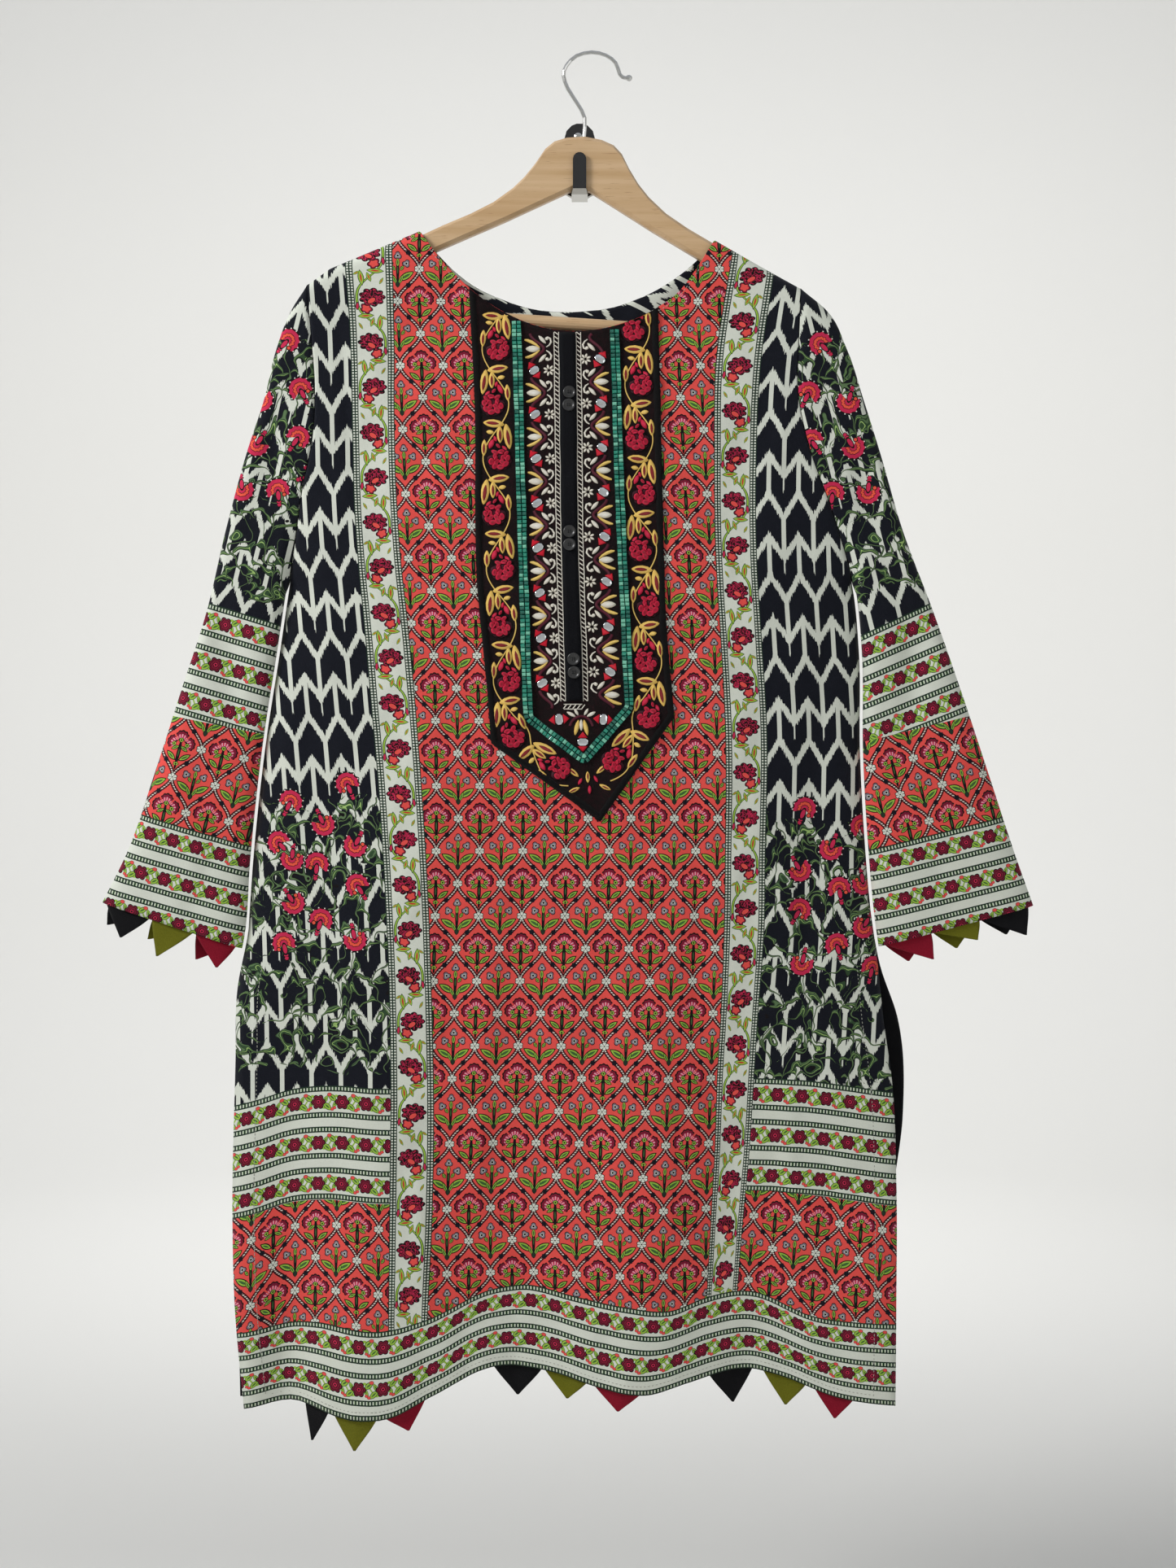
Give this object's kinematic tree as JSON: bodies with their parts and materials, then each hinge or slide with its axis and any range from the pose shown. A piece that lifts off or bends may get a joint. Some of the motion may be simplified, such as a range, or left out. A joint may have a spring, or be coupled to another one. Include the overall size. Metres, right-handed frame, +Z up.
{
  "type": "kurti on a hanger and wall hook",
  "caption": "Printed cotton kurti with a pointed embroidered yoke and cloth points at hem and cuffs, on a wooden hanger held by a wall hook.",
  "frame": {"origin": "middle of the wall hook's back face, on the wall", "axes": "+X to the viewer's right, +Y into the wall, +Z up; the garment's front faces -Y"},
  "size_m": [0.7517, 0.0567, 1.1262],
  "materials": {
    "printed_cotton": "matt plain weave, printed",
    "embroidered_net": "black net with embroidery",
    "navy_cotton": "matt plain weave",
    "teal_ribbon": "corded ribbon",
    "button_black": "satin",
    "black_cotton": "matt",
    "olive_cotton": "matt",
    "red_cotton": "matt",
    "wood": "clear satin lacquer on pale beech",
    "steel": "polished",
    "black_metal": "satin black"
  },
  "bodies": {
    "root": {"front_panel": "printed_cotton", "back_panel": "printed_cotton", "sleeve_left": "printed_cotton", "sleeve_right": "printed_cotton", "back_neck_facing": "printed_cotton", "yoke_patch": "embroidered_net", "placket_strip": "navy_cotton", "yoke_ribbon": "teal_ribbon", "hanger_body": "wood", "hanger_bar": "wood", "hanger_hook": "steel", "wall_hook": "black_metal", "wall_screw": "steel", "button_1": "button_black", "button_2": "button_black", "button_3": "button_black", "button_4": "button_black", "button_5": "button_black", "button_6": "button_black", "hem_point_1": "black_cotton", "hem_point_2": "olive_cotton", "hem_point_3": "red_cotton", "hem_point_4": "black_cotton", "hem_point_5": "olive_cotton", "hem_point_6": "red_cotton", "hem_point_7": "black_cotton", "hem_point_8": "olive_cotton", "hem_point_9": "red_cotton", "cuff_left_point_1": "black_cotton", "cuff_left_point_2": "olive_cotton", "cuff_left_point_3": "red_cotton", "cuff_left_point_4": "black_cotton", "cuff_left_point_5": "olive_cotton", "cuff_left_point_6": "red_cotton", "cuff_right_point_1": "black_cotton", "cuff_right_point_2": "olive_cotton", "cuff_right_point_3": "red_cotton", "cuff_right_point_4": "black_cotton", "cuff_right_point_5": "olive_cotton", "cuff_right_point_6": "red_cotton"}
  },
  "joints": []
}
